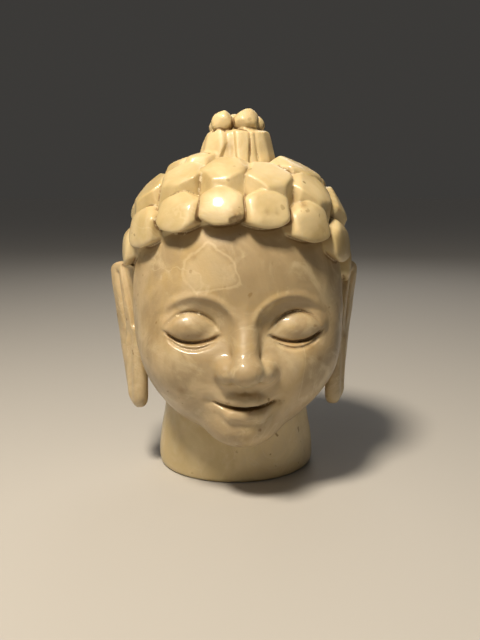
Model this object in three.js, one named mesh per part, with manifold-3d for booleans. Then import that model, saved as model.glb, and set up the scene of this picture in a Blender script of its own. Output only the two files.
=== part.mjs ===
// A small Buddha head carved from one block of soapstone, cut flat below the neck.
// Millimetres, +Z up. The face looks along -Y, and the origin is the middle of the flat underside.

import * as THREE from "three";
import { ConvexGeometry } from "three/addons/geometries/ConvexGeometry.js";
import { mergeVertices } from "three/addons/utils/BufferGeometryUtils.js";
import Module from "manifold-3d";

const wasm = await Module();
wasm.setup();

// ---- Driving dimensions ----

const HEIGHT = 100; // underside to the top of the topknot's beads
const HAIRLINE = 70; // height of the hair's edge over the forehead
const CHIN = 14.6; // height of the chin's lowest point
const HEAD_WIDTH = 57; // across the cheekbones
const SKULL_Y = -7; // the skull's axis stands this far in front of the neck's
const NECK_WIDTH = 45.5;
const NECK_DEPTH = 41;

// The face is divided in equal thirds: hairline to brow, brow to nose base, nose base to chin.
const THIRD = (HAIRLINE - CHIN) / 3;
const BROW = HAIRLINE - THIRD;
const NOSE_BASE = BROW - THIRD;
const MOUTH = NOSE_BASE - THIRD / 3;
const EYE = BROW - THIRD / 3.4;
const EYE_WIDTH = HEAD_WIDTH / 4.4;
const EYE_X = EYE_WIDTH * 0.95; // middle of each eye, from the middle of the face

// ---- Helpers ----

const degrees = THREE.MathUtils.degToRad;

function solidFrom(geometry) {
  const bare = geometry.clone();
  bare.deleteAttribute("normal");
  bare.deleteAttribute("uv");
  const merged = mergeVertices(bare, 1e-4);
  const mesh = new wasm.Mesh({
    numProp: 3,
    vertProperties: merged.attributes.position.array,
    triVerts: new Uint32Array(merged.index.array),
  });
  return new wasm.Manifold(mesh);
}

function geometryFrom(solid) {
  const { numProp, numVert, vertProperties, triVerts } = solid.getMesh();
  const positions = new Float32Array(numVert * 3);
  for (let i = 0; i < numVert; i++) {
    positions.set(vertProperties.subarray(i * numProp, i * numProp + 3), i * 3);
  }
  const geometry = new THREE.BufferGeometry();
  geometry.setAttribute("position", new THREE.BufferAttribute(positions, 3));
  geometry.setIndex(new THREE.BufferAttribute(triVerts, 1));
  return geometry;
}

// Moves every vertex to where shape(vertex) puts it.
function reshape(geometry, shape) {
  const positions = geometry.attributes.position;
  const vertex = new THREE.Vector3();
  for (let i = 0; i < positions.count; i++) {
    vertex.fromBufferAttribute(positions, i);
    shape(vertex);
    positions.setXYZ(i, vertex.x, vertex.y, vertex.z);
  }
  return geometry;
}

// Distance from a point to an ellipsoid's surface, negative inside.
function ellipsoid([x, y, z], [cx, cy, cz], [rx, ry, rz]) {
  const [dx, dy, dz] = [x - cx, y - cy, z - cz];
  const near = Math.hypot(dx / rx, dy / ry, dz / rz);
  const slope = Math.hypot(dx / rx ** 2, dy / ry ** 2, dz / rz ** 2);
  return slope === 0 ? -Math.min(rx, ry, rz) : (near * (near - 1)) / slope;
}

// Distance from a point to a rod between two points, its radius running from r0 to r1.
function rod(p, a, b, r0, r1) {
  const along = b.map((value, i) => value - a[i]);
  const from = p.map((value, i) => value - a[i]);
  const length2 = along.reduce((sum, value) => sum + value * value, 0);
  const dot = from.reduce((sum, value, i) => sum + value * along[i], 0);
  const t = THREE.MathUtils.clamp(dot / length2, 0, 1);
  return Math.hypot(...from.map((value, i) => value - t * along[i])) - (r0 + (r1 - r0) * t);
}

// Joins two distances with a fillet about k wide.
function join(a, b, k) {
  const h = Math.max(k - Math.abs(a - b), 0) / k;
  return Math.min(a, b) - (h * h * k) / 4;
}

// What is inside a and outside b, with an edge rounded about k wide.
function cut(a, b, k) {
  return -join(-a, b, k);
}

// A convex stone with its corners at places given across, up and out from a centre.
function facetedSolid(corners, centre, across, up, out) {
  const points = corners.map(([a, b, c]) =>
    centre.clone().addScaledVector(across, a).addScaledVector(up, b).addScaledVector(out, c),
  );
  return solidFrom(new ConvexGeometry(points));
}

// ---- Head and face ----

// Signed distance to the bare head, in a frame on the skull's axis. Both sides are alike.
function headDistance(x, y, z) {
  const p = [Math.abs(x), y, z];
  const half = HEAD_WIDTH / 2;
  let d = ellipsoid(p, [0, -0.5, 57], [half - 0.6, 28.2, 28]); // cranium
  d = join(d, ellipsoid(p, [0, -4.5, 46], [half - 0.4, 25.2, 30.5]), 3); // oval of the face
  d = join(d, ellipsoid(p, [0, -12, 32], [20.5, 18, 16.5]), 6); // mouth and jaw
  d = join(d, ellipsoid(p, [0, -22, CHIN + 6.2], [8.4, 8.2, 6.4]), 5); // chin
  d = join(d, ellipsoid(p, [12.5, -15, 38], [11.5, 12.5, 11]), 6); // cheek
  d = cut(d, ellipsoid(p, [EYE_X - 0.5, -35, EYE + 1], [9.6, 8.4, 5.8]), 5); // eye socket
  d = join(d, ellipsoid(p, [EYE_X + 0.3, -20.7, EYE - 0.4], [8.6, 7.6, 5.6]), 0.8); // closed lid
  d = join(d, rod(p, [0, -26.2, BROW - 1], [0, -33.6, NOSE_BASE + 4.4], 2.2, 3), 2.4); // bridge
  d = join(d, ellipsoid(p, [0, -34, NOSE_BASE + 3.4], [3.7, 3.8, 3.1]), 2); // tip of the nose
  d = join(d, ellipsoid(p, [4.1, -30.6, NOSE_BASE + 2.9], [2.9, 3.9, 2.9]), 2); // nostril wing
  d = join(d, rod(p, [0, -30.3, MOUTH + 1.8], [7.2, -26.6, MOUTH + 1.6], 1.9, 0.8), 0.8); // upper lip
  d = join(d, rod(p, [0, -29.8, MOUTH - 2.4], [6.6, -26.5, MOUTH - 0.2], 2.1, 0.8), 0.8); // lower lip
  return d;
}

// Walks in from outside along a ray, then halves the last step until the surface is found.
function reachAlong(ray, origin) {
  const at = (r) => headDistance(...[0, 1, 2].map((i) => origin[i] + ray[i] * r));
  const STEP = 1;
  let outside = 62;
  while (at(outside - STEP) > 0) outside -= STEP;
  let inside = outside - STEP;
  for (let i = 0; i < 16; i++) {
    const middle = (inside + outside) / 2;
    if (at(middle) > 0) outside = middle;
    else inside = middle;
  }
  return inside;
}

function headSolid() {
  const AROUND = 50;
  const UP = 38;
  const FRONT_CROWDING = 0.68; // more vertices on the face than on the back
  const MIDDLE_CROWDING = 0.45; // and more at mouth height than at the poles
  const ORIGIN = [0, -6, 34]; // below the nose, so that its underside is reached too
  const sphere = new THREE.SphereGeometry(1, AROUND, UP).rotateX(Math.PI / 2);
  return solidFrom(
    reshape(sphere, (v) => {
      const polar = Math.acos(THREE.MathUtils.clamp(v.z, -1, 1));
      const azimuth = Math.atan2(v.x, -v.y);
      const down = polar + (MIDDLE_CROWDING / 2) * Math.sin(2 * polar);
      const around = azimuth - FRONT_CROWDING * Math.sin(azimuth);
      const ray = [
        Math.sin(down) * Math.sin(around),
        -Math.sin(down) * Math.cos(around),
        Math.cos(down),
      ];
      const r = reachAlong(ray, ORIGIN);
      v.set(...ray.map((value, i) => ORIGIN[i] + value * r));
      v.y += SKULL_Y;
    }),
  );
}

// ---- Neck ----

function neckSolid() {
  const TOP = 40; // inside the skull
  const LEAN = 3.5; // how far its axis comes forward on the way up
  const EDGE = 1.6; // rounded lower edge
  const SIDES = 32;
  const half = NECK_WIDTH / 2;
  const profile = new THREE.Path();
  profile.moveTo(0, 0);
  profile.lineTo(half - EDGE, 0);
  profile.quadraticCurveTo(half - 0.2, 0.1, half, EDGE * 1.6);
  profile.bezierCurveTo(half - 0.3, 9, half - 2.4, 16, half - 2.9, TOP);
  profile.lineTo(0, TOP);
  const SECTIONS = 5;
  const lathe = new THREE.LatheGeometry(profile.getPoints(SECTIONS), SIDES).rotateX(Math.PI / 2);
  lathe.scale(1, NECK_DEPTH / NECK_WIDTH, 1);
  return solidFrom(
    reshape(lathe, (v) => {
      v.y -= LEAN * THREE.MathUtils.smoothstep(v.z, 0, TOP);
    }),
  );
}

// ---- Hair ----

// The dome that the curls' outer faces touch. Its section upwards is a little fuller than an ellipse.
const DOME = { z: 60, across: 31.2, along: 31.4, up: 29.6, roundness: 2.3 };
const SUNK = 2.8; // from the dome down to the layer under the curls
const HAIR_MIDDLE = 56.5; // height of the hair's edge on the skull's axis
const HAIR_SLOPE = 29; // degrees that the edge falls from brow to nape
const LOPSIDED = 2.2; // how much lower the curls sit at the head's left ear, and higher at its right

// Point and outward normal of the dome, and its radius, at an azimuth (0 in front) and a height.
function onDome(azimuth, z) {
  const rise = (z - DOME.z) / DOME.up;
  const ring = (1 - Math.abs(rise) ** DOME.roundness) ** (1 / DOME.roundness);
  const x = DOME.across * ring * Math.sin(azimuth);
  const y = -DOME.along * ring * Math.cos(azimuth);
  const outward = ring ** (DOME.roundness - 2);
  const normal = new THREE.Vector3(
    (x / DOME.across ** 2) * outward,
    (y / DOME.along ** 2) * outward,
    (Math.sign(rise) * Math.abs(rise) ** (DOME.roundness - 1)) / DOME.up,
  ).normalize();
  return { point: new THREE.Vector3(x, y + SKULL_Y, z), normal, radius: Math.hypot(x, y) };
}

// Joints of a ring of equal curls, in degrees from the middle of the forehead.
function evenJoints(count, first = 0, last = count) {
  return Array.from({ length: last - first + 1 }, (_, i) => ((first + i) * 360) / count);
}

// Rings of curls from the nape up. The middle of a ring is at base + fall * cos(azimuth), where the
// fall is one number in front and another behind.
const RINGS = [
  { joints: evenJoints(15, 4, 11), base: 46.4, front: 0, back: 2.6, tall: 13.4, cut: padCorners },
  { joints: evenJoints(15), base: 59.6, front: 16, back: 3.6, tall: 11, cut: padCorners },
  {
    joints: [2, 34, 64, 94, 123, 152, 181, 211, 241, 270, 299, 330, 362],
    base: 74,
    front: 9,
    back: 6,
    tall: 13.4,
    cut: lensCorners,
  },
  {
    joints: [40, 82, 122, 161, 200, 240, 280, 322],
    base: 85.4,
    front: 1.5,
    back: 5.2,
    tall: 14,
    cut: lensCorners,
  },
];

// A curl of the lower rings: six-sided, pointed at the top, with a broad flat crown. w and h are
// half its width and half its height.
function padCorners(w, h) {
  const outline = [
    [0, 1.06], [1, 0.55], [1, -0.4], [0.6, -0.92], [-0.6, -0.92], [-1, -0.4], [-1, 0.55],
  ];
  const layers = [
    { size: 0.97, out: -4.6 },
    { size: 0.99, out: -1.6 },
    { size: 0.62, out: 0.1 },
  ];
  return layers.flatMap(({ size, out }) => outline.map(([a, b]) => [a * w * size, b * h * size, out]));
}

// A curl of the upper rings: two slopes that meet in a ridge, like an eye with a heavy lower lid.
function lensCorners(w, h) {
  const corners = [
    [0.5, -0.34, 0.4], [0.96, 0.12, -0.7], [0.96, 0.6, -1.6], [0.4, 1, -1.3],
    [0.5, -1, -3.3], [0.96, -0.6, -2.9], [0.96, 1, -5], [0.9, -1, -5],
  ];
  return corners.flatMap(([a, b, out]) => [1, -1].map((side) => [a * side * w, b * h, out]));
}

function curlSolid(start, end, ring) {
  const azimuth = degrees((start + end) / 2);
  const fall = Math.cos(azimuth) > 0 ? ring.front : ring.back;
  const z = ring.base + fall * Math.cos(azimuth) - LOPSIDED * Math.sin(azimuth);
  const { point, normal, radius } = onDome(azimuth, z);
  const across = new THREE.Vector3(Math.cos(azimuth), Math.sin(azimuth), 0);
  const up = new THREE.Vector3().crossVectors(normal, across).normalize();
  const corners = ring.cut((radius * degrees(end - start)) / 2, ring.tall / 2);
  return facetedSolid(corners, point, across, up, normal);
}

// The layer under the curls, cut off along the hairline by a plane that falls from brow to nape.
function capSolid() {
  const cap = reshape(new THREE.SphereGeometry(1, 30, 18).rotateX(Math.PI / 2), (v) => {
    const ring = Math.hypot(v.x, v.y);
    v.divideScalar((ring ** DOME.roundness + Math.abs(v.z) ** DOME.roundness) ** (1 / DOME.roundness));
  });
  cap.scale(DOME.across - SUNK, DOME.along - SUNK, DOME.up - SUNK);
  cap.translate(0, SKULL_Y, DOME.z);
  const SIZE = 120;
  const above = new THREE.BoxGeometry(SIZE, SIZE, SIZE).translate(0, 0, SIZE / 2);
  above.rotateX(-degrees(HAIR_SLOPE)).translate(0, SKULL_Y, HAIR_MIDDLE);
  return solidFrom(cap).intersect(solidFrom(above));
}

function hairSolids() {
  const solids = [capSolid()];
  for (const ring of RINGS) {
    for (let i = 1; i < ring.joints.length; i++) {
      solids.push(curlSolid(ring.joints[i - 1], ring.joints[i], ring));
    }
  }
  return solids;
}

// ---- Topknot ----

const KNOT = { base: 84, top: 94.3, lower: 11.2, upper: 8.3 };
const KNOT_JOINTS = [-106, -76, -26, -8, 17, 31, 78, 112, 148, 185, 222, 254];
const KNOT_SUNK = [0.2, 0, 1, 0.1, 0.5, 0, 0.3, 0.6, 0.1, 0.5, 0.2]; // how deep each lobe is set back
// The beads on top: where the middle of each is, across, along and from the full height, and its radius.
const BEADS = [
  { at: [-3.9, -2.6, -3.7], radius: 2.9 },
  { at: [2.4, -2.9, -3.4], radius: 3.4 },
  { at: [5.2, 1.6, -3.9], radius: 2.5 },
  { at: [-0.4, 3.8, -3.8], radius: 3 },
  { at: [-4.8, 2.4, -4.4], radius: 2.5 },
];

// One lobe of the topknot: an upright block with its outer edges and its top cut off.
function lobeSolid(start, end, sunk) {
  const azimuth = degrees((start + end) / 2);
  const lean = Math.atan2(KNOT.lower - KNOT.upper, KNOT.top - KNOT.base);
  const middle = (KNOT.lower + KNOT.upper) / 2;
  const w = (middle * degrees(end - start)) / 2;
  const h = (KNOT.top - KNOT.base) / 2;
  const corners = [
    [0.6 * w, -h, 0], [0.6 * w, 0.72 * h, 0], [0.5 * w, h, -1.1],
    [w, -h, -1.2], [w, 0.6 * h, -1.2], [0.9 * w, h, -3], [w, -h, -4.5], [0.9 * w, h, -4.5],
  ];
  const out = new THREE.Vector3(
    Math.sin(azimuth) * Math.cos(lean),
    -Math.cos(azimuth) * Math.cos(lean),
    Math.sin(lean),
  );
  const across = new THREE.Vector3(Math.cos(azimuth), Math.sin(azimuth), 0);
  const up = new THREE.Vector3().crossVectors(out, across);
  const depth = middle - sunk;
  const centre = new THREE.Vector3(depth * Math.sin(azimuth), -depth * Math.cos(azimuth), KNOT.base + h);
  centre.y += SKULL_Y;
  const bothSides = corners.flatMap(([a, b, c]) => [[a, b, c], [-a, b, c]]);
  return facetedSolid(bothSides, centre, across, up, out);
}

function topknotSolids() {
  const tall = KNOT.top - KNOT.base;
  const drum = new THREE.CylinderGeometry(KNOT.upper - 1, KNOT.lower - 1, tall, 20);
  drum.rotateX(Math.PI / 2).translate(0, SKULL_Y, (KNOT.top + KNOT.base) / 2);
  const solids = [solidFrom(drum)];
  KNOT_SUNK.forEach((sunk, i) => solids.push(lobeSolid(KNOT_JOINTS[i], KNOT_JOINTS[i + 1], sunk)));
  for (const { at, radius } of BEADS) {
    const bead = new THREE.IcosahedronGeometry(radius, 1);
    solids.push(solidFrom(bead.translate(at[0], at[1] + SKULL_Y, HEIGHT + at[2])));
  }
  return solids;
}

// ---- Ears ----

const EAR = { top: 59.5, tip: 18 };

// The ear's section at a share of its height: front edge by the cheek, rim behind it, and thickness.
function earSection(rise) {
  const front = new THREE.Vector2(27.4, -1.2 - 0.5 * rise);
  const rim = new THREE.Vector2(28.6 + 5.9 * rise, 4.4 + 4.6 * rise);
  return { front, rim, thick: 4.6 - 1.2 * rise };
}

function earSolid(side) {
  const bar = new THREE.SphereGeometry(1, 16, 14).rotateX(Math.PI / 2);
  const middle = (EAR.top + EAR.tip) / 2;
  const half = (EAR.top - EAR.tip) / 2;
  const SQUARENESS = 0.4;
  const slab = reshape(bar, (v) => {
    const { front, rim, thick } = earSection((v.z + 1) / 2);
    const end = Math.min(1, Math.hypot(v.x, v.y)) ** SQUARENESS;
    const angle = Math.atan2(-v.y, v.x * side);
    const along = rim.clone().sub(front);
    const reach = along.length() / 2;
    along.normalize();
    const s = Math.cos(angle) * end * (reach + thick / 2);
    const t = (Math.sin(angle) * end * thick) / 2;
    const x = (front.x + rim.x) / 2 + along.x * s + along.y * t;
    const y = (front.y + rim.y) / 2 + along.y * s - along.x * t;
    v.set(x * side, y + SKULL_Y, middle + half * v.z);
  });
  // The hollow beside the head, above the lobe.
  const HOLLOW = { along: 3, deep: 1.5, up: 8.5, turn: 58, x: 30.6, y: -0.2, z: 50 };
  const hollow = new THREE.SphereGeometry(1, 12, 10).rotateX(Math.PI / 2);
  hollow.scale(HOLLOW.along, HOLLOW.deep, HOLLOW.up).rotateZ(degrees(HOLLOW.turn) * side);
  hollow.translate(HOLLOW.x * side, SKULL_Y + HOLLOW.y, HOLLOW.z);
  return solidFrom(slab).subtract(solidFrom(hollow));
}

// ---- The carving ----

function carvedHead() {
  const solids = [headSolid(), neckSolid(), ...hairSolids(), ...topknotSolids(), earSolid(1), earSolid(-1)];
  return solids.reduce((whole, solid) => whole.add(solid));
}

const soapstone = new THREE.MeshStandardMaterial({ color: 0xd8c49a, roughness: 0.38, metalness: 0 });
const head = new THREE.Mesh(geometryFrom(carvedHead()), soapstone);
head.name = "stone_head";

const model = new THREE.Group();
model.add(head);
export default model;
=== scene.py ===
"""A small Buddha head carved from one block of soapstone, standing on its own sawn-off neck.

The whole stone is one mesh. It is worked out as a signed distance in millimetres, from named sizes:
face, hair cap with its rings of curls, topknot, ears and neck. The zero surface of that distance is
then meshed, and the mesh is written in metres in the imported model's own frame.
"""

import math

import bpy
import numpy as np
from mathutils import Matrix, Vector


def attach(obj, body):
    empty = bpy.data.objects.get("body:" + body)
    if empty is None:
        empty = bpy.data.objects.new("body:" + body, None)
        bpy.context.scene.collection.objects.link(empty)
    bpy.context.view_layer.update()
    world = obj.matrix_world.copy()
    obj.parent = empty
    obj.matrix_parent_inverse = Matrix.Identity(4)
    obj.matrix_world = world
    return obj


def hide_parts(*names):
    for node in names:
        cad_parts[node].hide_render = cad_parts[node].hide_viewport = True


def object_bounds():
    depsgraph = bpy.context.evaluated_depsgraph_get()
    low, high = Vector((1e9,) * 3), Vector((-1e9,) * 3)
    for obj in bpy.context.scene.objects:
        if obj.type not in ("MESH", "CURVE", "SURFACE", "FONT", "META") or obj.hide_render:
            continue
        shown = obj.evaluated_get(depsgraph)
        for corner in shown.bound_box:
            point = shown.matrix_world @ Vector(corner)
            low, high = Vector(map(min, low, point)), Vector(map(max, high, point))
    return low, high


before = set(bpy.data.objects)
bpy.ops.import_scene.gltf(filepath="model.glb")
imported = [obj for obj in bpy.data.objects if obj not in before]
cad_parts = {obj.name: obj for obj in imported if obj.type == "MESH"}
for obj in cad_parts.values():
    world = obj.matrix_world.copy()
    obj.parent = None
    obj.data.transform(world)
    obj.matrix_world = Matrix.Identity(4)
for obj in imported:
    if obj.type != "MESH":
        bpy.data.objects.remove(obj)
cad_low, cad_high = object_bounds()

MM = 0.001
HEIGHT = (cad_high.z - cad_low.z) / MM  # 100 mm, underside to the top of the topknot's beads
RNG = np.random.default_rng(7)

# ---- Driving sizes, in millimetres; the head's frame has its origin on the skull's axis ----

SKULL_Y = -7.0  # the skull's axis stands this far in front of the neck's
SKULL_AXIS = np.array([0.0, SKULL_Y, 0.0])
HAIRLINE = 0.70 * HEIGHT
CHIN = 0.146 * HEIGHT
HALF_WIDTH = 28.5  # across one cheek
NECK_WIDTH, NECK_DEPTH = 45.5, 41.0

# The face is divided in equal thirds: hairline to brow, brow to nose base, nose base to chin.
THIRD = (HAIRLINE - CHIN) / 3
BROW = HAIRLINE - THIRD
NOSE_BASE = BROW - THIRD
MOUTH = NOSE_BASE - THIRD / 3
EYE = BROW - THIRD / 3.4
EYE_WIDTH = 2 * HALF_WIDTH / 4.4
EYE_X = EYE_WIDTH * 0.95  # middle of each eye, from the middle of the face


# ---- Distances ----

def join(a, b, k):
    """Union of two distances with a fillet about k wide."""
    h = np.maximum(k - np.abs(a - b), 0.0) / k
    return np.minimum(a, b) - h * h * k * 0.25


def cut(a, b, k):
    """What is inside a and outside b, with an edge rounded about k wide."""
    return -join(-a, b, k)


def ellipsoid(p, centre, radii):
    q = (p - np.asarray(centre)) / np.asarray(radii)
    near = np.sqrt(np.einsum("ij,ij->i", q, q))
    q /= np.asarray(radii)
    slope = np.sqrt(np.einsum("ij,ij->i", q, q))
    return near * (near - 1.0) / np.maximum(slope, 1e-6)


def rod(p, start, end, start_radius, end_radius):
    start, end = np.asarray(start, float), np.asarray(end, float)
    along = end - start
    offset = p - start
    t = np.clip(offset @ along / (along @ along), 0.0, 1.0)
    offset = offset - t[:, None] * along
    length = np.sqrt(np.einsum("ij,ij->i", offset, offset))
    return length - (start_radius + (end_radius - start_radius) * t)


def bump(distance, width):
    """A soft ridge profile: 1 on the line, fading over about width."""
    return np.exp(-(distance / width) ** 2)


def ramp(value, start, end):
    t = np.clip((value - start) / (end - start), 0.0, 1.0)
    return t * t * (3.0 - 2.0 * t)


def line_mark(x, z, line, width):
    """A mark along a line in the face's front view: 1 on the line, fading sideways and at its ends."""
    best = np.full(x.shape, 1e9)
    share = np.zeros(x.shape)
    for i, ((x0, z0), (x1, z1)) in enumerate(zip(line[:-1], line[1:])):
        dx, dz = x1 - x0, z1 - z0
        t = np.clip(((x - x0) * dx + (z - z0) * dz) / (dx * dx + dz * dz), 0.0, 1.0)
        distance = np.hypot(x - x0 - t * dx, z - z0 - t * dz)
        nearer = distance < best
        best = np.where(nearer, distance, best)
        share = np.where(nearer, (i + t) / (len(line) - 1), share)
    fade = ramp(share, -0.04, 0.16) * ramp(-share, -1.04, -0.84)
    return bump(best, width) * fade


def curve(points, steps=8):
    """Catmull-Rom curve through a few points, as a fine polyline."""
    points = [np.asarray(point, float) for point in points]
    ends = [2 * points[0] - points[1], *points, 2 * points[-1] - points[-2]]
    line = []
    for a, b, c, d in zip(ends[:-3], ends[1:-2], ends[2:-1], ends[3:]):
        for t in np.arange(steps) / steps:
            line.append(0.5 * (2 * b + (c - a) * t + (2 * a - 5 * b + 4 * c - d) * t ** 2
                               + (3 * b - a - 3 * c + d) * t ** 3))
    return [*line, points[-1]]


# ---- Face ----

def soften(x):
    """|x| rounded off at the middle line, so that both sides of the face meet without a crease."""
    return np.sqrt(x * x + 1.0) - 0.35


def skull(p):
    """The bare head under the features: cranium, oval of the face, mouth and jaw, chin, cheeks."""
    q = p.copy()
    q[:, 0] = soften(p[:, 0])
    d = ellipsoid(q, (0, -0.5, 57), (HALF_WIDTH - 0.6, 28.2, 28.0))
    d = join(d, ellipsoid(q, (0, -4.5, 46), (HALF_WIDTH - 0.4, 25.2, 30.5)), 3)
    d = join(d, ellipsoid(q, (0, -12, 32), (20.5, 18, 16.5)), 6)
    d = join(d, ellipsoid(q, (0, -22, CHIN + 6.2), (8.4, 8.2, 6.4)), 5)
    d = join(d, ellipsoid(q, (12.5, -15, 38), (11.5, 12.5, 11)), 6)
    return d


LID_FOLD = curve([(EYE_X - 6.6, EYE - 1.2), (EYE_X - 3.6, EYE + 2.2), (EYE_X + 0.2, EYE + 3.7),
                  (EYE_X + 4.2, EYE + 2.6), (EYE_X + 7.6, EYE - 0.6)])
LID_EDGE = curve([(EYE_X - 6.8, EYE - 1.8), (EYE_X - 3.6, EYE - 3.2), (EYE_X + 0.2, EYE - 3.8),
                  (EYE_X + 4.0, EYE - 3.1), (EYE_X + 7.8, EYE - 0.8)])
LOWER_LID = curve([(EYE_X - 5.6, EYE - 3.1), (EYE_X - 2.8, EYE - 4.6), (EYE_X + 0.4, EYE - 5.2),
                   (EYE_X + 3.8, EYE - 4.5), (EYE_X + 6.8, EYE - 2.4)])
BROW_RIDGE = curve([(1.9, BROW - 5.0), (3.6, BROW - 1.2), (7.6, BROW + 1.6), (12.8, BROW + 2.2),
                    (17.4, BROW + 0.4), (20.8, BROW - 2.8)])
LIP_LINE = curve([(-2.0, MOUTH - 0.2), (0, MOUTH - 0.5), (2.0, MOUTH - 0.2), (4.4, MOUTH - 0.1),
                  (6.6, MOUTH + 0.6), (8.2, MOUTH + 1.4)])


def nose(q):
    """A straight bridge down from the brow, a rounded tip, wings and the piece between the nostrils."""
    d = rod(q, (0, -26.2, BROW - 1.0), (0, -33.6, NOSE_BASE + 4.4), 2.2, 3.0)
    d = join(d, ellipsoid(q, (0, -34.0, NOSE_BASE + 3.4), (3.7, 3.8, 3.1)), 2.0)
    d = join(d, ellipsoid(q, (4.1, -30.6, NOSE_BASE + 2.9), (2.9, 3.9, 2.9)), 1.2)
    d = join(d, rod(q, (0, -34.4, NOSE_BASE + 1.6), (0, -30.0, NOSE_BASE + 0.4), 1.1, 1.6), 1.2)
    return cut(d, ellipsoid(q, (2.6, -32.4, NOSE_BASE + 0.2), (1.2, 1.9, 1.2)), 0.7)


def lips(q):
    upper = rod(q, (0.5, -29.9, MOUTH + 1.3), (2.0, -29.7, MOUTH + 1.7), 1.5, 1.6)
    upper = join(upper, rod(q, (2.0, -29.7, MOUTH + 1.7), (7.4, -26.4, MOUTH + 1.6), 1.6, 0.7), 1.0)
    lower = rod(q, (0, -29.5, MOUTH - 2.3), (2.8, -29.0, MOUTH - 2.1), 1.9, 1.8)
    lower = join(lower, rod(q, (2.8, -29.0, MOUTH - 2.1), (7.0, -26.3, MOUTH + 0.2), 1.8, 0.7), 1.0)
    return join(upper, lower, 0.5)


def head(p):
    """The skull with its features."""
    d = skull(p)
    front = p[:, 1] < -8.0
    if not front.any():
        return d
    q = p[front]
    q[:, 0] = soften(q[:, 0])
    x, z = np.abs(p[front, 0]), p[front, 2]
    facing = ramp(-p[front, 1], 9.0, 16.0)

    # Eye sockets under the brow with the lidded eyeballs in them, then the nose and the lips.
    f = cut(d[front], ellipsoid(q, (EYE_X - 0.5, -35.0, EYE + 1.0), (9.6, 8.4, 5.8)), 5.0)
    f = join(f, ellipsoid(q, (EYE_X + 0.3, -20.4, EYE - 0.4), (8.6, 7.6, 5.6)), 0.9)
    f = join(f, nose(q), 2.4)
    f = join(f, lips(q), 1.1)

    # Cut lines and raised ridges.
    ridge = 0.55 * line_mark(x, z, BROW_RIDGE, 1.0)
    groove = np.maximum.reduce([
        0.55 * line_mark(x, z, LID_FOLD, 0.5), 0.95 * line_mark(x, z, LID_EDGE, 0.5),
        0.5 * line_mark(x, z, LOWER_LID, 0.45), 0.75 * line_mark(x, z, LIP_LINE, 0.5),
    ])
    above_lips = ramp(z, MOUTH + 2.8, MOUTH + 3.8) * ramp(-z, 0.4 - NOSE_BASE, 1.6 - NOSE_BASE)
    philtrum = 0.45 * bump(x, 1.2) * above_lips
    corner = 0.6 * bump(np.hypot(x - 8.8, z - MOUTH - 1.3), 1.3)
    d[front] = f + facing * (groove - ridge + philtrum + corner)
    return d


# ---- Hair ----

ROUNDNESS = 2.3  # 2 is an ellipsoid; above that the dome has fuller shoulders
DOME_CENTRE = np.array([0.0, 0.0, 60.0])
DOME = np.array([31.2, 31.4, 29.6])  # half sizes of the dome that the curls' outer faces touch
GROOVE = 3.4  # from there down to the layer under the curls
PROUD = 0.3  # how far a curl's corners may stand out of the dome
HAIR_MIDDLE, HAIR_SLOPE = 57.8, math.radians(29)  # the hair's edge: height on the axis, and its fall


def ring_joints(count, first=0, last=None):
    """Azimuths in degrees where a ring of equal curls is parted, from one joint to another."""
    last = count if last is None else last
    return [360.0 * i / count for i in range(first, last + 1)]


# Each ring: the joints between its curls, the height of its middle as base + front or back * cos
# of the azimuth, the curls' height, and their cut. Azimuth 0 is the middle of the forehead.
LOPSIDED = 2.2  # how much lower a ring sits at azimuth 90, and how much higher at 270
RINGS = [
    {"joints": ring_joints(15, 4, 11), "base": 46.4, "front": 0.0, "back": 2.6,
     "tall": 13.4, "cut": "pad"},
    {"joints": ring_joints(15), "base": 59.6, "front": 16.0, "back": 3.6,
     "tall": 11.0, "cut": "pad"},
    {"joints": [2, 34, 64, 94, 123, 152, 181, 211, 241, 270, 299, 330, 362], "base": 74.0, "front": 9.0,
     "back": 6.0, "tall": 13.4, "cut": "lens"},
    {"joints": [40, 82, 122, 161, 200, 240, 280, 322], "base": 85.4, "front": 1.5, "back": 5.2,
     "tall": 14.0, "cut": "lens"},
]


def both_sides(faces):
    """The same faces, with each one that turns aside cut on the other side as well."""
    cut_faces = []
    for (across, up, out), (x, y, z) in faces:
        cut_faces.append(((across, up, out), (x, y, z)))
        if across:
            cut_faces.append(((-across, up, out), (-x, y, z)))
    return cut_faces


# The faces that a knife leaves on a curl: outward direction (across, up, out), and a point on the
# face as shares of half width and half height and as millimetres out of the dome.
PAD_FACES = both_sides([
    ((0, 0.03, 1), (0, 0, 0.2)), ((0.26, 0, 0.97), (0.55, 0, 0.05)),
    ((0.66, 0, 0.76), (0.80, 0, -0.3)), ((1, 0, 0.10), (0.93, 0, -2)),
    ((0, 0.48, 0.88), (0, 0.60, 0.0)), ((0.46, 0.84, 0.30), (0, 1.10, -1.2)),
    ((0, -0.42, 0.9), (0, -0.50, 0.0)), ((0, -0.88, -0.47), (0, -0.92, -0.6)),
    ((0.66, -0.66, 0.30), (0.66, -0.70, -0.5)), ((0.42, 0.45, 0.80), (0.62, 0.62, -0.4)),
    ((0.36, -0.84, -0.40), (0.40, -0.88, -0.6)),
])
LENS_FACES = both_sides([
    ((0, 0.17, 0.98), (0, -0.30, 0.55)), ((0, -0.66, 0.75), (0, -0.30, 0.55)),
    ((0.62, -0.50, 0.60), (0.58, -0.12, 0.15)), ((0.50, 0.45, 0.74), (0.62, 0.60, -0.55)),
    ((0.30, 0.05, 0.95), (0.72, 0.2, -0.2)), ((1, 0, 0.22), (0.94, 0, -1)),
    ((0, 1, 0.2), (0, 1.1, -2)), ((0, -1, -0.2), (0, -1.0, -3)),
])
CUTS = {"pad": {"faces": PAD_FACES, "sharp": 3.2}, "lens": {"faces": LENS_FACES, "sharp": 6.0}}


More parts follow.
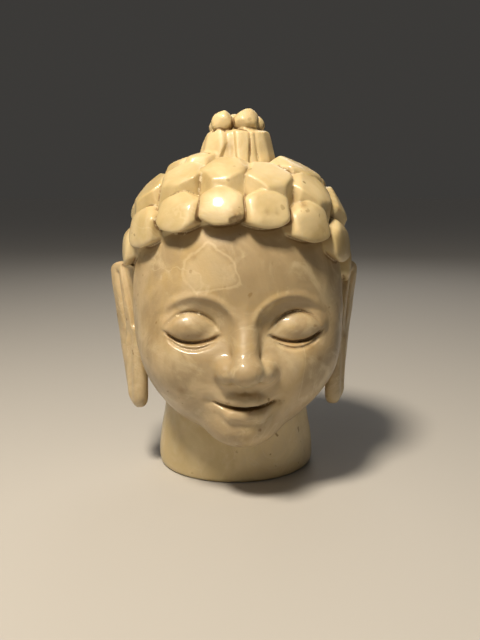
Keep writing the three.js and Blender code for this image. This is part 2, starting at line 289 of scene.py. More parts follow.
def on_dome(azimuth, z):
    """Point and outward normal of the dome at an azimuth and a height, and its radius there."""
    rise = np.clip((z - DOME_CENTRE[2]) / DOME[2], -0.98, 0.98)
    ring = (1.0 - abs(rise) ** ROUNDNESS) ** (1 / ROUNDNESS)
    point = np.array([DOME[0] * ring * math.sin(azimuth), -DOME[1] * ring * math.cos(azimuth), z])
    flat = point[:2] / DOME[:2] ** 2 / ring * ring ** (ROUNDNESS - 1)
    normal = np.array([*flat, math.copysign(abs(rise) ** (ROUNDNESS - 1), rise) / DOME[2]])
    return point, normal / np.linalg.norm(normal), math.hypot(point[0], point[1])


def dome(p):
    """Distance to the dome that the curls' outer faces touch."""
    q = (p - DOME_CENTRE) / DOME
    ring, rise = np.hypot(q[:, 0], q[:, 1]) + 1e-6, np.abs(q[:, 2]) + 1e-6
    size = (ring ** ROUNDNESS + rise ** ROUNDNESS) ** (1 / ROUNDNESS)
    outward = (ring / size) ** (ROUNDNESS - 1) / DOME[0]
    upward = (rise / size) ** (ROUNDNESS - 1) / DOME[2]
    return (size - 1.0) / np.hypot(outward, upward)


def knife_faces(faces, size, wander, slack):
    """Unit normals and offsets of a stone's faces, each a little off true as a hand leaves them."""
    normals, offsets = [], []
    for direction, at in faces:
        normal = np.array(direction, float) + RNG.normal(0, wander, 3)
        normal /= np.linalg.norm(normal)
        normals.append(normal)
        offsets.append(normal @ (np.array(at) * size) + RNG.normal(*slack))
    return {"normals": np.array(normals), "offsets": np.array(offsets)}


def make_curls():
    curls = []
    for ring in RINGS:
        joints = np.radians(ring["joints"])
        for start, end in zip(joints[:-1], joints[1:]):
            azimuth = (start + end) / 2
            fall = ring["front"] if math.cos(azimuth) > 0 else ring["back"]
            z = ring["base"] + fall * math.cos(azimuth) - LOPSIDED * math.sin(azimuth)
            point, normal, radius = on_dome(azimuth, z)
            across = np.array([math.cos(azimuth), math.sin(azimuth), 0.0])
            up = np.cross(normal, across)
            up /= np.linalg.norm(up)
            if up[2] < 0:
                up = -up
            half_width = radius * (end - start) / 2
            half_height = ring["tall"] / 2
            kind = CUTS[ring["cut"]]
            curls.append({
                **knife_faces(kind["faces"], (half_width, half_height, 1.0), 0.05, (0.15, 0.12)),
                "centre": point, "axes": np.array([across, up, normal]), "sharp": kind["sharp"],
                "reach": math.hypot(half_width, half_height) + 6.0,
            })
    return curls


CURLS = make_curls()


def gem(p, solid):
    """Distance to a convex stone cut by flat faces and worn round at its edges."""
    local = (p - solid["centre"]) @ solid["axes"].T
    sharp = solid["sharp"]
    faces = (local @ solid["normals"].T - solid["offsets"]) * sharp
    top = faces.max(axis=1)
    return (top + np.log(np.exp(faces - top[:, None]).sum(axis=1))) / sharp


def gems_near(p, solids):
    """For each cut stone that reaches some of the points: which ones, and their distances to it."""
    for solid in solids:
        offset = p - solid["centre"]
        mask = np.einsum("ij,ij->i", offset, offset) < solid["reach"] ** 2
        if mask.any():
            yield mask, gem(p[mask], solid)


def spread_directions(count):
    """Directions spread evenly over a sphere, along a spiral."""
    steps = np.arange(count) + 0.5
    rise = 1 - 2 * steps / count
    turn = steps * math.pi * (3 - math.sqrt(5))
    ring = np.sqrt(1 - rise * rise)
    return np.column_stack([ring * np.cos(turn), ring * np.sin(turn), rise])


# Chips knocked off the curls: azimuth and height on the dome, how far the middle of the cut stands
# out of it, and half sizes.
CHIPS = [
    (-3.0, 71.4, 0.5, (2.4, 2.2, 1.8)), (22.0, 69.0, 1.2, (1.8, 2.0, 1.5)),
    (-52.0, 64.0, 1.1, (2.0, 2.2, 1.8)),
]
CHIP_FACES = 14


def make_chips():
    chips = []
    for azimuth, z, out, size in CHIPS:
        point, normal, _ = on_dome(math.radians(azimuth), z)
        normals = spread_directions(CHIP_FACES) + RNG.normal(0, 0.2, (CHIP_FACES, 3))
        normals /= np.linalg.norm(normals, axis=1)[:, None]
        offsets = np.array([math.hypot(*(n * size)) for n in normals])
        chips.append({"centre": point + normal * out, "axes": np.eye(3), "normals": normals,
                      "offsets": offsets, "sharp": 5.0, "reach": max(size) + 3.0})
    return chips


CURL_CHIPS = make_chips()


def hair(p):
    """A layer under the dome down to the hair's sloping edge, with the curls on it and their chips."""
    outer = dome(p)
    d = outer + GROOVE
    edge = (HAIR_MIDDLE - p[:, 2]) * math.cos(HAIR_SLOPE) - p[:, 1] * math.sin(HAIR_SLOPE)
    d = cut(d, -edge, 1.0)
    for mask, curl in gems_near(p, CURLS):
        d[mask] = join(d[mask], cut(curl, PROUD - outer[mask], 0.4), 0.2)
    for mask, chip in gems_near(p, CURL_CHIPS):
        d[mask] = cut(d[mask], chip, 0.25)
    return d


# ---- Topknot ----

KNOT_BASE, KNOT_TOP = 84.0, 94.3
KNOT_LOWER, KNOT_UPPER = 11.8, 7.9  # its radius at those heights
KNOT_ROOT = 8.0  # how far the drum reaches down into the hair
LOBE_DEPTH = 2.6
KNOT_JOINTS = [-106, -76, -26, -8, 17, 31, 78, 112, 148, 185, 222, 254]
KNOT_SUNK = [0.2, 0.0, 1.0, 0.1, 0.5, 0.0, 0.3, 0.6, 0.1, 0.5, 0.2]  # how deep each lobe is set back
# The faces of one upright lobe: direction, and a point as shares of half width, half height, depth.
LOBE_FACES = both_sides([
    ((0, 0, 1), (0, 0, 1)), ((0.36, 0, 0.93), (0.5, 0, 0.96)), ((0.85, 0, 0.53), (0.85, 0, 0.8)),
    ((1, 0, 0), (0.96, 0, 0)),
]) + [((0.2, 1, 0.1), (0, 1, 0)), ((-0.2, 0.7, 0.7), (0, 0.82, 0.9)), ((0, -1, 0), (0, -1.2, 0))]
# The beads on top: middle and radius.
BEADS = [
    ((-3.9, -2.6, HEIGHT - 3.7), 2.9), ((2.4, -2.9, HEIGHT - 3.4), 3.4), ((5.2, 1.6, HEIGHT - 3.9), 2.5),
    ((-0.4, 3.8, HEIGHT - 3.8), 3.0), ((-4.8, 2.4, HEIGHT - 4.4), 2.5),
]
BEAD_FACES = 26


def make_lobes():
    lobes = []
    lean = math.atan2(KNOT_LOWER - KNOT_UPPER, KNOT_TOP - KNOT_BASE)
    half_height = (KNOT_TOP - KNOT_BASE) / 2
    middle = (KNOT_LOWER + KNOT_UPPER) / 2
    joints = np.radians(KNOT_JOINTS)
    for start, end, sunk in zip(joints[:-1], joints[1:], KNOT_SUNK):
        azimuth = (start + end) / 2
        half_width = middle * (end - start) / 2
        out = np.array([math.sin(azimuth) * math.cos(lean), -math.cos(azimuth) * math.cos(lean),
                        math.sin(lean)])
        across = np.array([math.cos(azimuth), math.sin(azimuth), 0.0])
        size = (half_width, half_height, LOBE_DEPTH)
        depth = middle - LOBE_DEPTH - sunk
        x, y = depth * math.sin(azimuth), -depth * math.cos(azimuth)
        lobes.append({
            **knife_faces(LOBE_FACES, size, 0.09, (0.1, 0.15)),
            "centre": np.array([x, y, KNOT_BASE + half_height]),
            "axes": np.array([across, np.cross(out, across), out]), "sharp": 8.0, "reach": 12.0,
        })
    return lobes


def make_beads():
    beads = []
    for centre, size in BEADS:
        normals = spread_directions(BEAD_FACES) + RNG.normal(0, 0.10, (BEAD_FACES, 3))
        normals /= np.linalg.norm(normals, axis=1)[:, None]
        offsets = size * (1.0 + RNG.uniform(-0.05, 0.08, BEAD_FACES))
        beads.append({"centre": np.array(centre), "axes": np.eye(3), "normals": normals,
                      "offsets": offsets, "sharp": 4.2, "reach": size + 5.0})
    return beads


LOBES, TOP_BEADS = make_lobes(), make_beads()


def topknot(p):
    """A tapering drum under its upright lobes, with the beads on top."""
    z = p[:, 2]
    radius = KNOT_LOWER + (KNOT_UPPER - KNOT_LOWER) * (z - KNOT_BASE) / (KNOT_TOP - KNOT_BASE) - 1.0
    drum = (np.hypot(p[:, 0], p[:, 1]) - radius) * 0.95
    d = cut(drum, KNOT_TOP - 0.4 - z, 0.8)
    d = np.maximum(d, KNOT_BASE - KNOT_ROOT - z)
    for mask, lobe in gems_near(p, LOBES):
        d[mask] = join(d[mask], lobe, 0.2)
    for mask, bead in gems_near(p, TOP_BEADS):
        d[mask] = join(d[mask], bead, 0.5)
    return d


# ---- Ears ----

EAR_TOP, EAR_TIP = 59.5, 18.0
EAR_FRONT, EAR_RIM = (27.4, -1.2), (28.6, 4.4)  # x and y of its front and back edges at the tip
FRONT_FLARE, RIM_FLARE = (0.0, -0.5), (5.9, 4.6)  # how far they have moved from there at the top
EAR_THICK, EAR_THINNING = 2.3, 0.6  # half its thickness at the tip, and how much less at the top
LOBE_TOP = 41.0  # where the hollow of the ear ends and the long lobe begins
TIP_ROUND, TOP_ROUND = 4.5, 3.0  # how far from its ends the ear starts to narrow
HOLLOW, FOLD, RIDGE, GUTTER = 1.8, 0.8, 0.8, 0.5  # depths of its carving, and the ridge's height


def ear(p):
    """A long blade on each side, flared towards its top: hollowed above, with a strip down its lobe."""
    x, y, z = np.abs(p[:, 0]), p[:, 1], p[:, 2]
    rise = np.clip((z - EAR_TIP) / (EAR_TOP - EAR_TIP), 0.0, 1.0)
    front_x, front_y = (at + flare * rise for at, flare in zip(EAR_FRONT, FRONT_FLARE))
    rim_x, rim_y = (at + flare * rise for at, flare in zip(EAR_RIM, RIM_FLARE))
    end = np.sqrt(np.clip(1.0 - (2 * np.abs(rise - 0.5)) ** 14, 0.0, 1.0))
    thick = (EAR_THICK - EAR_THINNING * rise) * end
    dx, dy = rim_x - front_x, rim_y - front_y
    long = np.hypot(dx, dy)
    across = ((x - front_x) * dx + (y - front_y) * dy) / long
    out = ((x - front_x) * dy - (y - front_y) * dx) / long
    tip_round = np.clip((z - EAR_TIP) / TIP_ROUND, 0.0, 1.0)
    top_round = np.clip((EAR_TOP - z) / TOP_ROUND, 0.0, 1.0)
    narrow = np.sqrt(1.0 - (1.0 - tip_round) ** 2) * np.sqrt(1.0 - (1.0 - top_round) ** 2)
    t = np.clip(across, long * (0.5 - 0.5 * narrow), long * (0.5 + 0.5 * narrow))
    blade = (np.hypot(across - t, out) - thick) * 0.9
    blade = np.maximum(blade, np.maximum(z - EAR_TOP, EAR_TIP - z))

    # On the outer face: the hollow beside the head, the fold inside the rim, the ridge of the lobe.
    outside = ramp(out, 0.1, 0.7)
    share = across / long
    up = (z - LOBE_TOP) / (EAR_TOP - LOBE_TOP)
    hollow = ramp(0.08 + 0.50 * up - share, -0.05, 0.05) * ramp(up, 0.0, 0.10) * ramp(-up, -0.97, -0.90)
    fold = bump((share - 0.56 - 0.22 * up) / 0.07, 1.0) * ramp(z, 38.0, 44.0) * ramp(-z, -57.5, -55.5)
    ridge = bump((share - 0.32) / 0.16, 1.0) * ramp(-z, -40.5, -37.0) * ramp(z, 18.5, 23.0)
    gutter = bump((share - 0.62) / 0.12, 1.0) * ramp(-z, -42.0, -37.0) * ramp(z, 21.0, 26.0)
    return blade + outside * (HOLLOW * hollow + FOLD * fold - RIDGE * ridge + GUTTER * gutter)


# ---- Neck ----

NECK_TOP = 40.0
NECK_LEAN = 3.5  # how far the neck's axis comes forward on its way up
NECK_NARROWING, FOOT_HEIGHT = 2.9, 26.0  # how much slimmer it is above its spread foot
NECK_FLATS, FLAT_RELIEF = 17, 0.16  # file marks round it, each a shallow upright band


def neck(p):
    """An oval column on the neck's own axis, leaning forward, spread and worn round at its foot."""
    z = p[:, 2]
    behind = p[:, 1] + SKULL_Y + NECK_LEAN * ramp(z, 0.0, NECK_TOP)
    across = np.hypot(p[:, 0], behind * NECK_WIDTH / NECK_DEPTH)
    turn = np.arctan2(p[:, 0], -behind)
    flats = FLAT_RELIEF * np.abs(np.sin(NECK_FLATS / 2 * turn + 0.02 * z)) * ramp(z, 1.5, 6.0)
    worn = 0.9 * np.exp(-np.maximum(z, 0))
    radius = NECK_WIDTH / 2 - NECK_NARROWING * ramp(z, 1.0, FOOT_HEIGHT) - worn + flats
    d = (across - radius) * 0.95
    return np.maximum(d, z - NECK_TOP)


# ---- The whole stone ----

WAVE_HEIGHT = 0.025
WAVES = [(RNG.normal(0, 1, 3), RNG.uniform(5, 16), RNG.uniform(0, 2 * math.pi)) for _ in range(10)]


def unevenness(p):
    """The slight waviness of a surface filed by hand."""
    total = np.zeros(len(p))
    for direction, length, phase in WAVES:
        direction = direction / np.linalg.norm(direction)
        total += np.sin(p @ direction * (2 * math.pi / length) + phase)
    return total * WAVE_HEIGHT


FAR = 9.0  # the distance given outside the region that a form is worked out in


def parts(model):
    """The distances of the separate forms, at points in the model's frame."""
    p = model - SKULL_AXIS
    z = p[:, 2]
    far = np.full(len(p), FAR)
    found = {"head": head(p), "hair": far.copy(), "knot": far.copy(), "ear": far.copy(), "neck": far.copy()}
    regions = {
        "hair": (hair, z > 28.0), "knot": (topknot, z > 78.0),
        "ear": (ear, (np.abs(p[:, 0]) > 18.0) & (z < 66.0)), "neck": (neck, z < 46.0),
    }
    for name, (shape, mask) in regions.items():
        if mask.any():
            found[name][mask] = shape(p[mask])
    return found


def stone(model):
    """Distance to the finished stone, its forms run together with small fillets, above the floor."""
    found = parts(model)
    d = join(found["head"], found["neck"], 1.0)
    d = join(d, found["hair"], 0.6)
    d = join(d, found["ear"], 0.8)
    d = join(d, found["knot"], 0.6)
    d += unevenness(model)
    return cut(d, model[:, 2], 0.7)


# Brown marks in the stone: place across and up the front of the head, radius, and strength.
STAINS = [
    ((-1.6, 72.6), 2.4, 1.0), ((-9.6, 81.0), 1.8, 0.6), ((14.6, 75.6), 1.0, 0.8), ((12.4, 77.0), 1.2, 0.5),
    ((-19.0, 45.0), 6.5, 0.30), ((16.5, 41.0), 0.8, 0.8), ((18.6, 38.0), 0.7, 0.7), ((-15.5, 30.5), 0.9, 0.8),
    ((5.2, 73.8), 0.7, 0.6), ((7.6, 73.6), 0.6, 0.5), ((-12.0, 63.0), 0.7, 0.5), ((0.6, 84.0), 1.4, 0.5),
    ((-3.0, 90.0), 1.6, 0.6), ((-27.0, 60.0), 2.2, 0.5), ((19.0, 69.0), 2.4, 0.35),
]
# A paler patch shows on the forehead: its middle, and its straight edges as a
# direction and a distance from there.
PALE_MIDDLE = (-8.8, 60.6)
PALE_EDGES = [((-0.62, 0.78), 4.6), ((0.60, 0.80), 4.8), ((0.95, 0.30), 6.3), ((-1.0, 0.05), 5.6),
              ((0.2, -1.0), 5.4), ((-0.7, -0.7), 6.2)]


def stain_depth(p):
    """How brown the stone is at points in the head's frame, 0 to 1."""
    depth = np.zeros(len(p))
    for (x, z), radius, strength in STAINS:
        spot = strength * bump(np.hypot(p[:, 0] - x, p[:, 2] - z), radius)
        depth = np.maximum(depth, spot)
    return depth * ramp(-p[:, 1], 0.0, 6.0)


def pale_edge(p):
    """Distance to the edge of the paler patch, below zero inside it."""
    x, z = p[:, 0] - PALE_MIDDLE[0], p[:, 2] - PALE_MIDDLE[1]
    sides = [(x * across + z * up) / math.hypot(across, up) - at for (across, up), at in PALE_EDGES]
    return np.maximum.reduce(sides)


# ---- Meshing ----

def lattice(low, shape, step):
    """The points of a lattice of a shape, in rows, from its low corner."""
    axes = [low[i] + step * np.arange(shape[i]) for i in range(3)]
    return np.stack(np.meshgrid(*axes, indexing="ij"), axis=-1).reshape(-1, 3)


def double(values):
    """The same lattice at half the spacing, with the new points interpolated."""
    for axis in range(3):
        moved = np.moveaxis(values, axis, 0)
        fine = np.empty((2 * moved.shape[0] - 1, *moved.shape[1:]), np.float32)
        fine[0::2] = moved
        fine[1::2] = (moved[:-1] + moved[1:]) / 2
        values = np.moveaxis(fine, 0, axis)
    return np.ascontiguousarray(values)


def sample(field, low, high, step, halvings):
    """Field values on a lattice, worked out everywhere when coarse and only near the surface when fine."""
    coarse = step * 2 ** halvings
    shape = np.ceil((np.asarray(high) - low) / coarse).astype(int) + 1
    values = field(lattice(low, shape, coarse)).astype(np.float32).reshape(shape)
    for level in range(halvings):
        values = double(values)
        spacing = coarse / 2 ** (level + 1)
        spots = np.argwhere(np.abs(values) < 2.2 * spacing)
        for chunk in np.array_split(spots, max(1, len(spots) // 200000)):
            values[tuple(chunk.T)] = field(low + chunk * spacing)
    return values


def surface_net(values, low, step):
    """Vertices and quads of the zero surface: one vertex in each cell that the surface crosses."""
    inside = values < 0
    cells = np.array(values.shape) - 1
    corner_offsets = [(i, j, k) for i in (0, 1) for j in (0, 1) for k in (0, 1)]
    count = np.zeros(cells, np.int8)
    for i, j, k in corner_offsets:
        count += inside[i:cells[0] + i, j:cells[1] + j, k:cells[2] + k]
    active = np.argwhere((count > 0) & (count < 8))
    corners = np.stack([values[tuple((active + offset).T)] for offset in corner_offsets], axis=1)
    total, crossings = np.zeros((len(active), 3)), np.zeros(len(active))
    for a, first in enumerate(corner_offsets):
        for b, second in enumerate(corner_offsets):
            if b > a and sum(abs(m - n) for m, n in zip(first, second)) == 1:
                va, vb = corners[:, a], corners[:, b]
                crossed = (va < 0) != (vb < 0)
                t = np.where(crossed, va / np.where(crossed, va - vb, 1.0), 0.0)
                point = np.array(first) + t[:, None] * (np.array(second) - np.array(first))
                total += point * crossed[:, None]
                crossings += crossed
    vertices = low + step * (active + total / crossings[:, None])

    index = np.full(cells, -1, np.int32)
    index[tuple(active.T)] = np.arange(len(active))
    quads = []
    for axis in range(3):
        ahead = np.moveaxis(inside, axis, 0)
        edges = np.argwhere(ahead[:-1, 1:-1, 1:-1] != ahead[1:, 1:-1, 1:-1])
        around = np.moveaxis(index, axis, 0)
        i, j, k = edges[:, 0], edges[:, 1] + 1, edges[:, 2] + 1
        quad = np.stack([around[i, j - 1, k - 1], around[i, j, k - 1], around[i, j, k],
                         around[i, j - 1, k]], axis=1)
        outward = ahead[i, j, k]
        if axis == 1:
            outward = ~outward
        quad[~outward] = quad[~outward][:, ::-1]
        quads.append(quad)
    return vertices, np.concatenate(quads)


def gradient(field, points, at=None, reach=0.04):
    """Slope of a field at points, from short steps along the axes."""
    if at is None:
        at = field(points)
    slope = np.empty_like(points)
    for axis in range(3):
        moved = points.copy()
        moved[:, axis] += reach
        slope[:, axis] = (field(moved) - at) / reach
    return slope


def settle(field, points, rounds, limit):
    """Moves points onto the zero surface."""
    for _ in range(rounds):
        at = field(points)
        slope = gradient(field, points, at)
        move = slope * (at / np.maximum(np.einsum("ij,ij->i", slope, slope), 0.05))[:, None]
        length = np.linalg.norm(move, axis=1)
        points = points - move * np.minimum(1.0, limit / np.maximum(length, 1e-9))[:, None]
    return points


def occlusion(points, normals, reach):
    """How closed in a place is: 0 on open surface, up to 1 at the bottom of a groove."""
    return np.clip(1.0 - stone(points + normals * reach) / reach, 0.0, 1.0)


def mesh_object(name, vertices, quads, layers):
    """A smooth mesh of quads, in metres, with each layer's values at its vertices."""
    mesh = bpy.data.meshes.new(name)
    mesh.vertices.add(len(vertices))
    mesh.vertices.foreach_set("co", (vertices * MM).astype(np.float32).ravel())
    mesh.loops.add(quads.size)
    mesh.loops.foreach_set("vertex_index", quads.astype(np.int32).ravel())
    mesh.polygons.add(len(quads))
    mesh.polygons.foreach_set("loop_start", np.arange(0, quads.size, 4, dtype=np.int32))
    mesh.update(calc_edges=True)
    mesh.validate()
    mesh.polygons.foreach_set("use_smooth", np.ones(len(quads), bool))
    for layer_name, values in layers.items():
        layer = mesh.attributes.new(layer_name, "FLOAT", "POINT")
        layer.data.foreach_set("value", values.astype(np.float32))
    piece = bpy.data.objects.new(name, mesh)
    bpy.context.collection.objects.link(piece)
    return piece


MOST_TRIANGLES = 196000


def thin_out(piece, most):
    """Brings the mesh under a number of triangles, flattest places first."""
    triangles = 2 * len(piece.data.polygons)
    if triangles > most:
        modifier = piece.modifiers.new("thin", "DECIMATE")
        modifier.ratio = most / triangles
        bpy.context.view_layer.objects.active = piece
        bpy.ops.object.modifier_apply(modifier=modifier.name)


COARSE_STEP, FINE_STEP = 0.56, 0.31
LATTICE_LOW = np.array([-40.0, -53.0, -2.0])
LATTICE_HIGH = np.array([40.0, 30.0, HEIGHT + 2.0])
GROOVE_REACH, HOLLOW_REACH = 0.9, 3.5  # how far out a place is tested for being closed in


def carve():
    """The whole stone as one mesh, with the layers that its material is coloured by."""
    step = FINE_STEP
    values = sample(stone, LATTICE_LOW, LATTICE_HIGH, step, 2)
    vertices, quads = surface_net(values, LATTICE_LOW, step)
    vertices = settle(stone, vertices, 2, step * 0.6)
    vertices[:, 2] = np.clip(vertices[:, 2], 0.0, HEIGHT)
    normals = gradient(stone, vertices)
    normals /= np.maximum(np.linalg.norm(normals, axis=1), 1e-6)[:, None]
    found = parts(vertices)
    others = np.minimum.reduce([found["hair"], found["knot"], found["ear"], found["neck"]])
    face = ramp(others - found["head"], -0.2, 0.9) * ramp(-vertices[:, 1], 2.0, 9.0)
    ears = 0.9 * ramp(found["hair"] - found["ear"], 0.0, 1.0) * ramp(0.6 - found["ear"], 0.0, 0.6)
    layers = {
        "skin": np.maximum(face, ears),
        # The groove layer: how closed in each place is within a millimetre, darkened in the material as dirt
        # in the joints together with painted shade in creases.
        "groove": occlusion(vertices, normals, GROOVE_REACH),
        # The hollow layer: how closed in each place is within a few millimetres, darkened in the material as
        # painted shade.
        "hollow": occlusion(vertices, normals, HOLLOW_REACH),
        "stain": stain_depth(vertices - SKULL_AXIS),
        "pale": pale_edge(vertices - SKULL_AXIS),
    }
    return mesh_object("stone_carving", vertices, quads, layers)


# ---- Soapstone ----

class Nodes:
    """Short forms for wiring a material."""

    def __init__(self, name):
        self.material = bpy.data.materials.new(name)
        self.material.use_nodes = True
        self.tree = self.material.node_tree
        self.tree.nodes.clear()

    def add(self, kind):
        return self.tree.nodes.new(kind)

    def link(self, source, target):
        self.tree.links.new(source, target)

    def noise(self, place, scale, detail=3.0, roughness=0.5, distortion=0.0):
        node = self.add("ShaderNodeTexNoise")
        self.link(place, node.inputs["Vector"])
        node.inputs["Scale"].default_value = scale
        node.inputs["Detail"].default_value = detail
        node.inputs["Roughness"].default_value = roughness
        node.inputs["Distortion"].default_value = distortion
        return node.outputs["Fac"]

    def span(self, value, low, high, to_low=0.0, to_high=1.0):
        """The value taken smoothly from one range to another, and held at the ends."""
        node = self.add("ShaderNodeMapRange")
        node.interpolation_type = "SMOOTHSTEP"
        self.link(value, node.inputs["Value"])
        for name, number in (("From Min", low), ("From Max", high), ("To Min", to_low), ("To Max", to_high)):
            node.inputs[name].default_value = number
        return node.outputs["Result"]

    def math(self, operation, *values):
        node = self.add("ShaderNodeMath")
        node.operation = operation
        for socket, value in zip(node.inputs, values):
            if isinstance(value, (int, float)):
                socket.default_value = value
            else:
                self.link(value, socket)
        return node.outputs["Value"]

    def blend(self, share, a, b):
        node = self.add("ShaderNodeMix")
        node.data_type = "RGBA"
        self.link(share, node.inputs["Factor"])
        for name, value in (("A", a), ("B", b)):
            socket = [s for s in node.inputs if s.name == name and s.type == "RGBA"][0]
            if isinstance(value, tuple):
                socket.default_value = (*value, 1.0)
            else:
                self.link(value, socket)
        return [s for s in node.outputs if s.type == "RGBA"][0]

    def attribute(self, name):
        node = self.add("ShaderNodeAttribute")
        node.attribute_name = name
        return node.outputs["Fac"]

    def finish(self, shader):
        output = self.add("ShaderNodeOutputMaterial")
        self.link(shader.outputs["BSDF"], output.inputs["Surface"])
        return self.material


WARM = ((0.54, 0.42, 0.21), (0.70, 0.57, 0.33))  # the hair's and neck's straw colours, dark and pale
GREY = ((0.38, 0.285, 0.16), (0.55, 0.425, 0.255))  # the face's and ears', which were polished further
CLOUD, OCHRE, VEIN, PALE = (0.63, 0.52, 0.33), (0.50, 0.35, 0.13), (0.74, 0.64, 0.44), (0.68, 0.56, 0.36)
# The hollows' colour is painted shade. The grooves' colour is dirt in the joints together with painted shade
# in narrow creases.
STAIN_BROWN, HOLLOW_SHADE, GROOVE_DIRT_AND_SHADE = (0.24, 0.145, 0.045), (0.34, 0.225, 0.09), (0.20, 0.115, 0.04)
CRUMB = (0.66, 0.56, 0.36)


def stone_colour(n, place):
    """Straw-coloured and greyer stone, with cloudy patches, thin pale veins and the paler patch on the
    forehead.
    """
    warm = n.blend(n.span(n.noise(place, 60, 4, 0.55, 0.4), 0.36, 0.66), *WARM)
    grey = n.blend(n.span(n.noise(place, 48, 4, 0.6, 0.8), 0.36, 0.66), *GREY)
    colour = n.blend(n.attribute("skin"), warm, grey)
    clouds = n.span(n.noise(place, 85, 5, 0.62, 1.4), 0.48, 0.70, 0.0, 0.65)
    colour = n.blend(clouds, colour, CLOUD)
    ochre = n.span(n.noise(place, 36, 4, 0.6, 1.0), 0.55, 0.75, 0.0, 0.55)
    colour = n.blend(ochre, colour, OCHRE)

    streak = n.math("ABSOLUTE", n.math("SUBTRACT", n.noise(place, 50, 3, 0.5, 1.6), 0.5))
    veined = n.span(n.noise(place, 30, 2, 0.5), 0.45, 0.6)
    veins = n.math("MULTIPLY", n.span(streak, 0.0, 0.020, 0.24, 0.0), veined)
    colour = n.blend(veins, colour, VEIN)

    pale = n.attribute("pale")
    ragged = n.math("ADD", pale, n.span(n.noise(place, 260, 3), 0.2, 0.8, -0.5, 0.5))
    outline = n.span(n.math("ABSOLUTE", ragged), 0.05, 0.55, 0.38, 0.0)
    inside = n.span(pale, -1.5, 0.2, 0.32, 0.0)
    return n.blend(n.math("MAXIMUM", inside, outline), colour, PALE)


def marks(n, place, colour, groove, crumbs):
    """Small brown specks and larger stains, painted shade in the hollows, and dirt together with painted
    shade, with polishing crumbs, in the grooves.
    """
    specks = n.span(n.noise(place, 420, 1.5, 0.5), 0.69, 0.75, 0.0, 0.8)
    speckled = n.span(n.noise(place, 60, 2, 0.5), 0.42, 0.60)
    mottled = n.span(n.noise(place, 300, 4, 0.65), 0.30, 0.55, 0.35, 1.0)
    brown = n.math("MULTIPLY", specks, speckled)
    stain = n.math("MULTIPLY", n.attribute("stain"), mottled)
    colour = n.blend(n.math("MAXIMUM", brown, stain), colour, STAIN_BROWN)
    # Painted shade: the colour darkens where the stone is closed in within a few millimetres, as under the
    # nose and in the ears' hollows.
    colour = n.blend(n.span(n.attribute("hollow"), 0.50, 1.0, 0.0, 0.5), colour, HOLLOW_SHADE)
    # Dirt and painted shade: the colour darkens in narrow grooves and creases, as real dirt in the hair's
    # joints and as painted shade elsewhere.
    colour = n.blend(n.span(groove, 0.34, 0.80, 0.0, 0.85), colour, GROOVE_DIRT_AND_SHADE)
    return n.blend(crumbs, colour, CRUMB)


def soapstone():
    n = Nodes("soapstone")
    place = n.add("ShaderNodeTexCoord").outputs["Object"]
    groove = n.attribute("groove")
    crumbed = n.span(n.noise(place, 75, 2, 0.5), 0.50, 0.62)
    crumbs = n.math("MULTIPLY", n.span(n.noise(place, 950, 3, 0.6), 0.54, 0.62), crumbed)
    crumbs = n.math("MULTIPLY", crumbs, n.span(groove, 0.25, 0.50))

    shader = n.add("ShaderNodeBsdfPrincipled")
    n.link(marks(n, place, stone_colour(n, place), groove, crumbs), shader.inputs["Base Color"])
    shine = n.span(n.noise(place, 90, 4, 0.6), 0.3, 0.7, 0.42, 0.56)
    rough = n.math("ADD", shine, n.span(groove, 0.3, 0.9, 0.0, 0.3))
    n.link(n.math("MAXIMUM", rough, n.span(crumbs, 0.2, 0.8, 0.0, 0.8)), shader.inputs["Roughness"])
    shader.inputs["Subsurface Weight"].default_value = 0.18
    shader.inputs["Subsurface Radius"].default_value = (0.0022, 0.0014, 0.0007)
    shader.inputs["Subsurface Scale"].default_value = 1.0
    shader.inputs["Coat Weight"].default_value = 0.4
    shader.inputs["Coat Roughness"].default_value = 0.09
    shader.inputs["IOR"].default_value = 1.5

    grain = n.add("ShaderNodeBump")
    grain.inputs["Strength"].default_value = 0.45
    grain.inputs["Distance"].default_value = 0.0003
    n.link(n.math("ADD", n.noise(place, 480, 5, 0.65), crumbs), grain.inputs["Height"])
    n.link(grain.outputs["Normal"], shader.inputs["Normal"])
    return n.finish(shader)


def plain(name, colour, roughness):
    n = Nodes(name)
    shader = n.add("ShaderNodeBsdfPrincipled")
    shader.inputs["Base Color"].default_value = (*colour, 1.0)
    shader.inputs["Roughness"].default_value = roughness
    return n.finish(shader)


# ---- Camera, floor and light ----

FOCAL = 39.4  # on a 36 mm sensor along the frame's long side
DISTANCE, EYE_LEVEL = 0.194, 0.078  # from the skull's axis, and above the floor
PITCH, TURN = math.radians(10.2), math.radians(-4.0)
SIDESTEP = 0.0008  # to the right of the line through the skull's axis
FLOOR_HALF = 12.0
LIT_POINT = (0.0, SKULL_Y * MM, 0.065)  # above the middle of the head, where the lamps point


def place_camera():
    camera = bpy.data.objects.new("camera", bpy.data.cameras.new("camera"))
    camera.data.lens = FOCAL
    camera.data.sensor_width = 36.0
    camera.data.clip_start = 0.01
    sine, cosine = math.sin(TURN), math.cos(TURN)
    x = DISTANCE * sine + SIDESTEP * cosine
    y = SKULL_Y * MM - DISTANCE * cosine + SIDESTEP * sine
    camera.location = (x, y, EYE_LEVEL)
    camera.rotation_euler = (math.pi / 2 - PITCH, 0.0, TURN)
    bpy.context.collection.objects.link(camera)
    bpy.context.scene.camera = camera


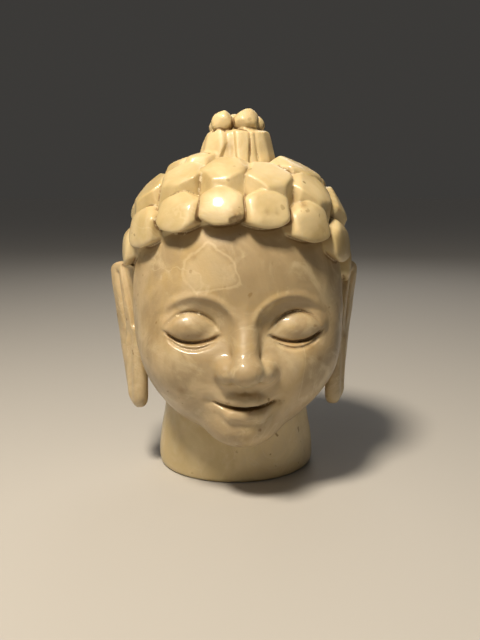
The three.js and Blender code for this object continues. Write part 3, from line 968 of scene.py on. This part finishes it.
def area_light(name, position, target, size, power, colour):
    """A round lamp turned towards a point."""
    light = bpy.data.lights.new(name, "AREA")
    light.shape = "DISK"
    light.size = size
    light.energy = power
    light.color = colour
    lamp = bpy.data.objects.new(name, light)
    lamp.location = position
    direction = np.array(target, float) - np.array(position, float)
    yaw = math.atan2(direction[1], direction[0])
    tilt = math.atan2(direction[2], math.hypot(direction[0], direction[1]))
    lamp.rotation_euler = (math.pi / 2 + tilt, 0.0, yaw - math.pi / 2)
    bpy.context.collection.objects.link(lamp)


def room_light():
    """Soft, even light from over the camera's left shoulder."""
    sun = bpy.data.lights.new("room", "SUN")
    sun.energy = 0.18
    sun.angle = math.radians(40)
    sun.color = (1.0, 0.95, 0.88)
    lamp = bpy.data.objects.new("room", sun)
    lamp.rotation_euler = (math.radians(38), 0.0, math.radians(-40))
    bpy.context.collection.objects.link(lamp)


def set_stage():
    mesh = bpy.data.meshes.new("floor")
    corners = [(x * FLOOR_HALF, y * FLOOR_HALF, 0) for x, y in ((-1, -1), (1, -1), (1, 1), (-1, 1))]
    mesh.from_pydata(corners, [], [(0, 1, 2, 3)])
    floor = bpy.data.objects.new("floor", mesh)
    floor.data.materials.append(plain("pale_floor", (0.50, 0.49, 0.48), 0.75))
    bpy.context.collection.objects.link(floor)

    world = bpy.data.worlds.new("studio")
    world.use_nodes = True
    background = world.node_tree.nodes["Background"]
    background.inputs["Color"].default_value = (0.86, 0.82, 0.76, 1.0)
    background.inputs["Strength"].default_value = 0.052
    bpy.context.scene.world = world

    area_light("key", (-0.12, -0.19, 0.40), LIT_POINT, 0.085, 2.6, (1.0, 0.87, 0.68))
    area_light("back", (0.10, 0.42, 0.40), LIT_POINT, 0.3, 0.4, (1.0, 0.95, 0.88))
    room_light()
    bpy.context.scene.view_settings.view_transform = "Standard"


# ---- Put together ----

place_camera()
set_stage()
carving = carve()
thin_out(carving, MOST_TRIANGLES)
carving.data.materials.append(soapstone())
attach(carving, "root")
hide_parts("stone_head")
